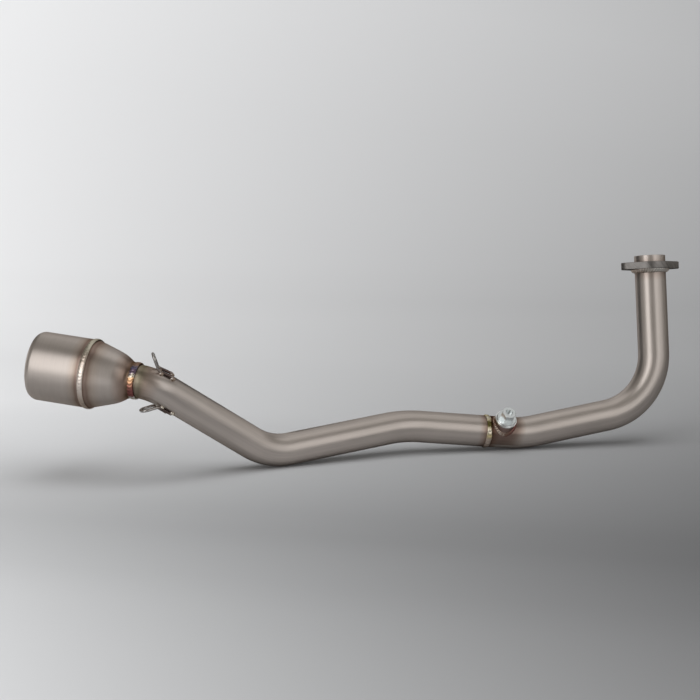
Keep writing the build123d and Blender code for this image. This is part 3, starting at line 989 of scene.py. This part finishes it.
def sweep_sheet():
    """(away, up) = floor, then (B + R sin q, R - R cos q), then wall, drawn along the width."""
    q = np.linspace(0, np.pi / 2, 24)[1:]
    flat = np.linspace(NEAR_EDGE, BEND_START, 30)
    away = np.concatenate([flat, BEND_START + BEND * np.sin(q), np.full(8, BEND_START + BEND)])
    up = np.concatenate([flat * 0, BEND - BEND * np.cos(q), np.linspace(0.9, WALL_TOP, 8)])
    across = np.linspace(-HALF_WIDTH, HALF_WIDTH, 18)
    grid = studio(across[None, :, None], away[:, None, None], up[:, None, None])
    i = np.arange(grid[..., 0].size).reshape(grid.shape[:2])
    quads = np.stack([i[:-1, :-1], i[:-1, 1:], i[1:, 1:], i[1:, :-1]], -1).reshape(-1, 4)
    mesh = bpy.data.meshes.new("floor")
    mesh.from_pydata(grid.reshape(-1, 3).tolist(), [], quads.tolist())
    mesh.polygons.foreach_set("use_smooth", np.ones(len(quads), bool))
    sheet = placed("floor", mesh)
    return sheet


floor = sweep_sheet()
print("paper sheet:", len(floor.data.polygons), "faces")

# %% [markdown]
# ## Painted light and shadow on the paper
# The paper's colour is painted light and shade: pale at the back and on the left, a painted falloff
# of light to the right and towards the sides, and a painted soft shadow band across the floor in
# front. TONES gives how pale it is by the distance along the sheet, and FALLS how fast the painted
# light darkens to the right. Near the header almost all of it is a colour that the lamps light, so
# the header's own shadow falls on it. Up the wall a growing share glows, and only shows to the
# camera and in the metal, which keeps the background pale without more light on the header.
# LAMPLIGHT is how brightly the lamps light the sheet, and the colour is divided by it. The sheet is
# clear from behind, so that a camera round the back still sees the header.

# %% Paper with painted light and shadow
def graded(f, metres, first, last, stops, top=1.0):
    """A level whose stops are in metres between first and last, with numbers up to top."""
    span = last - first
    scaled = [((at - first) / span, number / top) for at, number in stops]
    return f.level((metres - first) / span, scaled) * top


f = Finish("floor_paper")
x, y, z = f.place()
right = (x - CENTRE[0]) * RIGHT[0] + (y - CENTRE[1]) * RIGHT[1]
away = (x - CENTRE[0]) * AWAY[0] + (y - CENTRE[1]) * AWAY[1]
path = away + (z - FLOOR)
TONES = [
    (-2.50, 0.50), (-1.40, 0.50), (-0.90, 0.372), (-0.74, 0.350), (-0.62, 0.328), (-0.53, 0.300),
    (-0.43, 0.285), (-0.36, 0.268), (-0.28, 0.28), (-0.11, 0.347), (0.06, 0.41), (0.22, 0.46),
    (0.67, 0.490), (1.33, 0.493), (1.71, 0.518), (2.20, 0.56), (2.60, 0.61),
]
FALLS = [(-0.50, 1.95), (-0.33, 1.8), (-0.08, 1.7), (0.24, 1.2), (0.68, 0.86), (1.3, 0.72),
         (2.2, 0.50), (2.6, 0.44)]
LAMPLIGHT = [(-2.50, 0.57), (-0.817, 1.05), (-0.358, 1.185), (0.05, 1.11), (0.56, 0.87),
             (1.07, 0.60), (1.58, 0.4275), (2.60, 0.4005)]
SHADOW_BAND_SLANT, PALEST = 0.28, 0.80
# Painted light and shade: a painted falloff to the right and to the sides, and a painted shadow
# band across the floor in front.
middle = graded(f, path + right * SHADOW_BAND_SLANT, -2.5, 2.6, TONES)
fall = graded(f, path, -0.5, 2.6, FALLS, 2.0)
limit = (0.43 + path * 0.2).at_least(0.40).at_most(0.75)
sideways = right.at_least(-1 * limit).at_most(limit)
painted_pool = f.level(abs(right) / 2.5, [(0.32, 1.0), (0.60, 0.4)])
painted_tone = (middle * np.e ** (fall * sideways * -1)).at_most(PALEST) * painted_pool
# A share that grows up the wall glows as painted light, seen by the camera and in the metal.
share = f.level(path / 2.0, [(0.0, 0.05), (0.75, 0.7)])
lamplight = graded(f, path, -2.5, 2.6, LAMPLIGHT, 1.5)
painted_tone = painted_tone / (share + (1 - share) * lamplight)
paper = f.vector(painted_tone * 0.995, painted_tone, painted_tone * 1.012)
seen = f.node("LightPath")
shown = Varies(f, seen.outputs["Is Camera Ray"]) + Varies(f, seen.outputs["Is Glossy Ray"])
shown = (shown + Varies(f, seen.outputs["Is Transmission Ray"])).at_most(1.0)
lit = f.node("BsdfDiffuse", None, Color=paper)
steady = f.node("Emission", None, Color=paper, Strength=1.0)
both = f.node("MixShader", None, shown * share, lit.outputs[0], steady.outputs[0])
behind = f.node("NewGeometry").outputs["Backfacing"]
clear = f.node("BsdfTransparent", None)
sheet_shader = f.node("MixShader", None, behind, both.outputs[0], clear.outputs[0])
f.node("OutputMaterial", None, sheet_shader.outputs[0])
floor.data.materials.append(f.material)
print("nodes in the paper:", len(f.tree.nodes))

# %% [markdown]
# ## Lamps
# A soft box shows in metal at its own brightness, so each is given the brightness it should show,
# and its power is four times that brightness times its area. The strong left box draws the bright
# stripe on the upright leg, the two on the right the highlights of the low tubes, and the gap
# between left and right the dark stripe. The side and back boxes lift the edges that look away,
# and a small one lights the sleeve's mouth. A dim panel overhead keeps the tops grey. The floor
# light isn't seen in the metal: it is there for the shadow under the header.

# %% Soft boxes, panel and floor light
DAYLIGHT = (0.975, 0.985, 1.0)


def area_lamp(name, place, width, height, power):
    """Rectangular lamp at a place, facing down until it is turned."""
    lamp = bpy.data.lights.new(name, "AREA")
    lamp.shape, lamp.size, lamp.size_y = "RECTANGLE", width, height
    lamp.energy, lamp.color = power, DAYLIGHT
    box = placed(name, lamp)
    box.location = place
    return box


def soft_box(name, bearing, distance, low, high, width, brightness):
    """Upright lamp at a bearing from the camera side, facing in: power = brightness x 4 x area."""
    b, height = np.radians(bearing) + SWING, (low + high) / 2
    place = studio(np.sin(b) * distance, -np.cos(b) * distance, height)
    box = area_lamp(name, place, width, high - low, brightness * 4 * width * (high - low))
    box.visible_camera, box.rotation_mode = False, "QUATERNION"
    box.rotation_quaternion = Vector(studio(0, 0, height) - place).to_track_quat("-Z", "Y")
    print(name, "watts", round(box.data.energy, 1))


soft_box("left_box", -47.0, 2.1, 0.05, 2.9, 1.25, 1.24)
soft_box("right_box", 24.0, 2.1, 0.03, 2.2, 0.90, 0.70)
soft_box("wide_box", 50.0, 2.1, 0.03, 1.9, 1.20, 0.43)
soft_box("side_box", 96.0, 2.1, 0.50, 1.35, 2.0, 0.44)
soft_box("back_box", 132.0, 2.1, 0.45, 1.25, 1.2, 0.34)
soft_box("mouth_box", -114.0, 0.98, 0.03, 0.50, 0.55, 0.50)
overhead = area_lamp("top_panel", studio(0.4, 0.45, 2.2), 2.3, 1.7, 0.40 * 4 * 2.3 * 1.7)
overhead.rotation_euler = (0, 0, -SWING)
floor_light = area_lamp("floor_light", studio(0.05, -0.48, 1.6), 1.9, 1.9, 25.0)
floor_light.visible_glossy = floor_light.visible_camera = False

# %% [markdown]
# ## Cards
# Where metal should show something dark, a photographer stands a card beside it. These cards are
# painted dark reflections: a dark card beside the upright leg darkens its left edge, and a grey one
# under the sleeve stands for the shaded floor and darkens the sleeve's lower half. They are seen by
# reflected rays alone, so they cast no shadow.

# %% Dark cards, seen only in the metal
def dark_reflection_card(name, grey, corners):
    """One flat card of felt with corners (right, away, up), seen only as a reflection."""
    f = Finish(name)
    x, y, z = f.place()
    nap = grey * (0.85 + f.noise(x * 200, y * 200, z * 200) * 0.3)
    felt = f.node("BsdfDiffuse", None, Color=f.vector(nap, nap, nap))
    f.node("OutputMaterial", None, felt.outputs[0])
    mesh = bpy.data.meshes.new(name)
    mesh.from_pydata([tuple(studio(*corner)) for corner in corners], [], [(0, 1, 2, 3)])
    mesh.materials.append(f.material)
    card = placed(name, mesh)
    card.visible_camera = card.visible_diffuse = card.visible_shadow = False
    print(name, "grey", grey)


dark_reflection_card("drop_card", 0.02, [
    (-0.10, 0.08, 0.0), (-0.10, 0.44, 0.0), (-0.10, 0.44, 0.3), (-0.10, 0.08, 0.3),
])
dark_reflection_card("sleeve_card", 0.35, [
    (-0.50, -0.26, 0.001), (-0.25, -0.26, 0.001), (-0.25, -0.06, 0.001), (-0.50, -0.06, 0.001),
])

# %% [markdown]
# ## World
# The room beyond the paper is dim and a little warm. Metal that looks past the boxes shows it,
# which keeps its darks brown and not blue.

# %% World
ROOM, ROOM_STRENGTH = (1.0, 0.97, 0.90, 1.0), 0.20
world = bpy.data.worlds.new("studio")
bpy.context.scene.world = world
world.use_nodes = True
background = world.node_tree.nodes["Background"].inputs
background["Color"].default_value, background["Strength"].default_value = ROOM, ROOM_STRENGTH
bpy.context.scene.view_settings.view_transform = "Standard"
